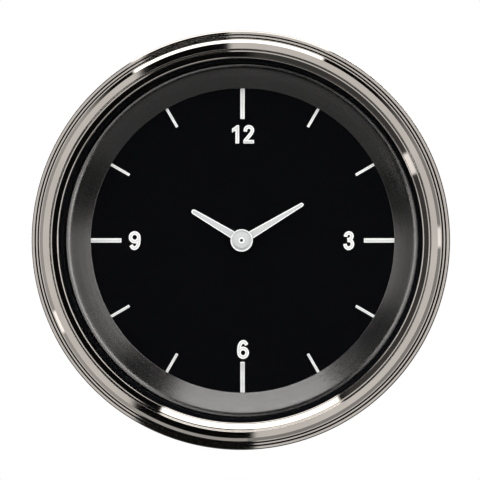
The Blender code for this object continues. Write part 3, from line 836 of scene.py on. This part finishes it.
# A rod whose radius follows a helical thread, closed at both ends, with a chamfered tail.
def threadedShape(radius, pitch, depth, front, back):
    columns, rowsPerTurn, chamfer = 28, 6, 0.7
    shape = bmesh.new()
    rows = int((back - front) / pitch * rowsPerTurn)
    rings = []
    for row in range(rows + 1):
        y = front + (back - front) * row / rows
        ring = []
        for column in range(columns):
            turn = column / columns
            along = (y / pitch - turn) % 1.0
            reach = radius - depth * abs(along * 2 - 1)
            reach = min(reach, radius - chamfer + max(0.0, back - y))
            angle = turn * 2 * math.pi
            corner = (reach * math.cos(angle) * mm, y * mm, reach * math.sin(angle) * mm)
            ring.append(shape.verts.new(corner))
        rings.append(ring)
    for one, other in zip(rings, rings[1:]):
        for k in range(columns):
            after = (k + 1) % columns
            shape.faces.new((one[k], other[k], other[after], one[after]))
    shape.faces.new(rings[0])
    shape.faces.new(rings[-1][::-1])
    bmesh.ops.recalc_face_normals(shape, faces=shape.faces)
    return shape


# A closed outline with rounded ridges, for knurled nuts and knobs.
def ridgedLoop(radius, depth, ridges):
    steps = 8
    count = ridges * steps
    points = []
    for k in range(count):
        wave = abs(math.sin(math.pi * k / steps)) ** 0.7
        reach = radius - depth * (1 - wave)
        angle = 2 * math.pi * k / count
        points.append((reach * math.cos(angle), reach * math.sin(angle)))
    return points


def makeStudsAndNuts():
    look = {"pitch": 0.7, "threadDepth": 0.32, "tail": 76.0, "ridges": 24, "ridgeDepth": 0.5}
    neckProfile = [(0.0, 41.2), (3.5, 41.2), (3.5, 42.7), (1.95, 42.7), (1.95, 45.0), (0.0, 45.0)]
    collarProfile = [(2.35, 53.5), (4.6, 53.5), (4.9, 54.9), (2.35, 54.9)]
    for side, x in (("left", -studX), ("right", studX)):
        thread = threadedShape(2.0, look["pitch"], look["threadDepth"], 44.8, look["tail"])
        neck = turnedShape(blended(neckProfile, 0.15, False), 40, False)
        stud = moved(joined(thread, neck), (x, 0.0))
        finished(f"threadedStud_{side}", stud, brightSteel, "root", [f"stud_{side}"])
        washer = moved(flatShape([splitRing(2.3, 4.2)], 52.3, 53.2, 0.1), (x, 0.0))
        node = f"lock_washer_{side}"
        finished(f"splitWasher_{side}", washer, steel, "clamp", [node])
        ridged = ridgedLoop(6.5, look["ridgeDepth"], look["ridges"])
        grip = flatShape([ridged, circlePoints(2.35, steps=40)], 54.6, 60.5, 0.35)
        collar = turnedShape(blended(collarProfile, 0.2), 64)
        nut = moved(joined(grip, collar), (x, 0.0))
        finished(f"knurledNut_{side}", nut, brass, f"nut_{side}", [f"thumb_nut_{side}"])


# A ring cut through once, as one outline.
def splitRing(inner, outer):
    span = [math.radians(5 + 350 * k / 60) for k in range(61)]
    outside = [(outer * math.cos(t), outer * math.sin(t)) for t in span]
    inside = [(inner * math.cos(t), inner * math.sin(t)) for t in reversed(span)]
    return outside + inside


def makeLampPieces():
    profile = [(0.0, 36.0), (4.2, 36.0), (5.0, 36.8), (5.0, 44.3), (6.6, 44.3, 0.3)]
    profile += [(6.6, 46.0, 0.5), (5.6, 46.3), (3.4, 46.3), (3.0, 46.7), (0.0, 46.7)]
    for side, x in (("left", -lampX), ("right", lampX)):
        socket = turnedShape(blended(profile, 0.2, False), 64, False)
        grip = boxShape((10.0, 6.4, 2.4), (0.0, 48.6, 0.0), 0.7)
        mark = boxShape((0.7, 0.3, 1.4), (0.0, 46.4, 4.9), 0.1, 2)
        for face in mark.faces:
            face.material_index = 1
        holder = moved(joined(socket, grip, mark), (x, lampZ))
        body = f"lamp_{side}"
        node = f"lamp_holder_{side}"
        materials = [blackPlastic, printCore]
        finished(f"lampHolderTwist_{side}", holder, materials, body, [node])
        node = f"lamp_bulb_{side}"
        low, high = spanOf(node)
        bulb = [(0.0, low), (1.6, low + 0.35), (2.5, low + 1.6), (2.65, low + 4.0)]
        bulb += [(2.2, high - 3.0), (2.2, high), (0.0, high)]
        glass = moved(turnedShape(blended(bulb, 0.5, False), 40, False), (x, lampZ))
        finished(f"lampBulbGlass_{side}", glass, bulbGlass, body, [node])


def makeTerminalPieces():
    look = {"spacing": 7.0, "thickness": 0.8, "hole": 0.85}
    block = boxShape((25.0, 3.0, 9.0), (0.0, 45.8, terminalZ), 0.45)
    walls = [boxShape((0.9, 1.6, 8.0), (x, 48.0, terminalZ), 0.3, 2) for x in (-10.6, -3.5, 3.5, 10.6)]
    moulding = joined(block, *walls)
    finished("terminalBlockMoulded", moulding, blackPlastic, "root", ["terminal_block"])
    outline = [(28.0, 41.5), (32.0, 41.5), (32.0, 54.4), (31.2, 55.5), (28.8, 55.5), (28.0, 54.4)]
    loops = [outline, circlePoints(look["hole"], (terminalZ, 52.2), 24)]
    for k in (1, 2, 3):
        blade = flatShape(loops, -look["thickness"] / 2, look["thickness"] / 2, 0.1)
        # the outline was drawn in (z, y): stand it up across x
        x = (k - 2) * look["spacing"]
        swap = Matrix(((0, 1, 0, x * mm), (0, 0, 1, 0), (1, 0, 0, 0), (0, 0, 0, 1)))
        bmesh.ops.transform(blade, matrix=swap, verts=blade.verts)
        bmesh.ops.recalc_face_normals(blade, faces=blade.faces)
        finished(f"spadeTerminal_{k}", blade, brass, "root", [f"terminal_{k}"])


def makeSettingPieces():
    look = {"knobRadius": 4.5, "ridges": 20, "ridgeDepth": 0.4, "stemRadius": 1.2}
    place = (0.0, settingZ)
    ridged = ridgedLoop(look["knobRadius"], look["ridgeDepth"], look["ridges"])
    grip = flatShape([ridged], 47.4, 53.0, 0.4)
    collarProfile = [(0.0, 46.5), (2.6, 46.5), (3.0, 47.8), (0.0, 47.8)]
    collar = turnedShape(blended(collarProfile, 0.2, False), 48, False)
    dishProfile = [(0.0, 52.9), (3.3, 52.9), (3.3, 53.1), (3.0, 53.1), (2.7, 52.95), (0.0, 52.95)]
    dish = turnedShape(blended(dishProfile, 0.05, False), 48, False)
    knob = moved(joined(grip, collar, dish), place)
    finished("settingKnobRidged", knob, blackPlastic, "setting", ["set_knob"])
    stem = turnedShape(blended(discProfile(look["stemRadius"], 6.8, 52.0), 0.15, False), 32, False)
    finished("settingRod", moved(stem, place), brightSteel, "setting", ["set_stem"])
    sealProfile = [(1.6, 42.9), (3.2, 42.9), (3.2, 44.4), (1.6, 44.4)]
    seal = moved(turnedShape(blended(sealProfile, 0.4), 48), place)
    finished("stemGrommetSoft", seal, rubber, "root", ["stem_grommet"])


makeBezelPiece()
makeSeals()
makeLensPiece()
makeTrimPiece()
makeDialPiece()
makePrint()
makeHandPieces()
print("front pieces made")
makeCasePiece()
makeClampPiece()
makeStudsAndNuts()
makeLampPieces()
makeTerminalPieces()
makeSettingPieces()
print("back pieces made")


# What each material slot of the CAD nodes looks like.
slotFinishes = {
    "dark_nickel": bezelFinish,
    "satin_nickel": trimFinish,
    "plated_steel": steel,
    "brass": brass,
    "copper": windingFinish,
    "hand_paint": handCore,
    "dial_paint": dialFinish,
    "black_plastic": blackPlastic,
    "white_plastic": whitePlastic,
    "black_rubber": rubber,
    "clear_glass": bulbGlass,
    "board_laminate": boardFinish,
    "magnet": magnetFinish,
}


def dressNodes():
    for entry in frame["record"]["subparts"]:
        node = frame["nodes"][entry["node"]]
        node.data.materials.clear()
        node.data.materials.append(slotFinishes[entry["material_slot"]])


dressNodes()
print("frame pieces dressed")


# Paints what the metal reflects. theta is the angle from the way the dial mirrors the camera,
# and phi the turn from the top, both in degrees.
def paintStudio():
    look = {"disc": 0.88, "top": 2.8, "lamp": 1.3, "behind": 0.7, "white": 1.0}
    world = bpy.data.worlds.new("studio")
    world.use_nodes = True
    bpy.context.scene.world = world
    recipe = Recipe(world.node_tree)
    toward = recipe.add("ShaderNodeTexCoord", output="Generated")
    turned = {"Vector": toward, "Axis": (0.0, 0.0, 1.0), "Angle": math.radians(viewYaw)}
    rotated = recipe.add("ShaderNodeVectorRotate", {"rotation_type": "AXIS_ANGLE"}, turned)
    x, y, z = recipe.parts(rotated)
    theta = (0.0 - y).math("ARCCOSINE") * (180 / math.pi)
    phi = x.math("ARCTAN2", z) * (180 / math.pi)
    ahead = (0.0 - y).most(0.02)
    px = x / ahead
    pz = z / ahead
    gap = (px - pz * 0.02).ramp(-0.158, -0.146) * (px + pz * 0.0625).ramp(0.003, -0.003)
    hole = (px * px + pz * pz).math("SQRT").ramp(0.062, 0.068)
    disc = theta.ramp(20.5, 19.0) * (1.0 - gap) * hole * look["disc"]
    # patches of light as (turn from, turn to, angle from, angle to, softness, brightness)
    patches = [
        (-34.0, 22.7, 37.0, 56.0, 0.8, 1.75),
        (-34.0, 22.7, 56.0, 85.0, 0.8, look["top"]),
        (-116.5, -110.0, 55.0, 80.0, 0.6, look["lamp"]),
        (86.0, 92.0, 57.0, 66.0, 0.8, 1.1),
        (30.0, 116.0, 20.5, 36.0, 6.0, 2.2),
        (-105.0, -50.0, 20.5, 36.0, 6.0, 1.8),
        (-48.0, -32.0, 42.0, 54.0, 5.0, 0.26),
        (46.0, 96.0, 37.0, 57.0, 5.0, 0.37),
        (46.0, 96.0, 37.0, 49.0, 5.0, 0.36),
        (-95.0, -67.0, 37.0, 57.0, 4.0, 0.25),
        (-95.0, -67.0, 37.0, 49.0, 4.0, 0.33),
        (-180.0, -116.0, 36.0, 56.0, 2.0, 0.15),
        (120.0, 181.0, 36.0, 56.0, 2.0, 0.15),
        (-190.0, -48.0, 56.0, 71.0, 7.0, 0.5),
        (52.0, 190.0, 56.0, 71.0, 12.0, 0.34),
        (-174.0, -36.0, 71.0, 88.0, 3.0, 0.06),
    ]
    light = disc + theta.ramp(104.0, 128.0) * look["behind"] + 0.004
    for start, end, near, far, soft, strength in patches:
        depth = 2.0 if soft > 3.0 else 0.8  # how soft the two other sides are
        light = light + phi.within(start, end, soft) * theta.within(near, far, depth) * strength
    studio = recipe.tree.nodes["Background"]
    studio.inputs["Color"].default_value = (1.0, 1.0, 1.0, 1.0)
    recipe.feed(studio.inputs["Strength"], light)
    white = {"Color": (1.0, 1.0, 1.0, 1.0), "Strength": look["white"]}
    plain = recipe.add("ShaderNodeBackground", {}, white)
    seen = recipe.add("ShaderNodeLightPath", output="Is Camera Ray")
    both = recipe.add("ShaderNodeMixShader", {}, {0: seen, 1: Signal(recipe, studio.outputs[0]), 2: plain})
    recipe.feed(recipe.tree.nodes["World Output"].inputs["Surface"], both)


def aimed(data, name, place, target):
    lamp = bpy.data.objects.new(name, data)
    bpy.context.scene.collection.objects.link(lamp)
    lamp.location = place
    lamp.rotation_euler = (Vector(target) - Vector(place)).to_track_quat("-Z", "Y").to_euler()
    return lamp


def setLights():
    look = {"keyPower": 11.5, "fillPower": 3.5, "rearPower": 14.0}
    spots = {
        "keyLight": (look["keyPower"], 0.4, (0.3, -0.95, 0.8)),
        "fillLight": (look["fillPower"], 0.8, (-0.9, -0.8, 0.2)),
        "rearLight": (look["rearPower"], 0.8, (0.7, 1.1, 0.9)),
        "rearFill": (look["rearPower"] * 0.6, 1.0, (-0.8, 1.2, 0.1)),
    }
    for name, (power, size, place) in spots.items():
        data = bpy.data.lights.new(name, "AREA")
        data.energy = power
        data.size = size
        lamp = aimed(data, name, place, (0.0, 0.0, 0.0))
        lamp.visible_camera = False
        lamp.visible_glossy = name.startswith("rear")


def setStage():
    look = {"radius": 3.5, "level": -1.2, "glow": 0.4}
    floor = bmesh.new()
    level = Matrix.Translation((0, 0, look["level"]))
    bmesh.ops.create_circle(floor, cap_ends=True, segments=96, radius=look["radius"], matrix=level)
    mesh = bpy.data.meshes.new("studioFloor")
    floor.to_mesh(mesh)
    floor.free()
    paint = Finish("paleFloor", Base_Color=(0.9, 0.9, 0.9), Roughness=0.9)
    paint.set("Emission Color", (1.0, 1.0, 1.0, 1.0))
    paint.set("Emission Strength", look["glow"])
    mesh.materials.append(paint.material)
    stage = bpy.data.objects.new("studioFloor", mesh)
    bpy.context.scene.collection.objects.link(stage)
    stage.visible_glossy = False


def setCamera():
    look = {"distance": 1.4, "pictureWidth": 0.1092, "target": (-0.00038, 0.0, 0.0001)}
    data = bpy.data.cameras.new("camera")
    data.sensor_width = 36.0
    data.lens = data.sensor_width * look["distance"] / look["pictureWidth"]
    data.clip_start = 0.05
    data.clip_end = 50.0
    yaw = math.radians(viewYaw)
    place = (look["distance"] * math.sin(yaw), -look["distance"] * math.cos(yaw), 0.0)
    camera = aimed(data, "camera", place, look["target"])
    bpy.context.scene.camera = camera
    bpy.context.scene.view_settings.view_transform = "Standard"


paintStudio()
setLights()
setStage()
setCamera()
print("studio set")
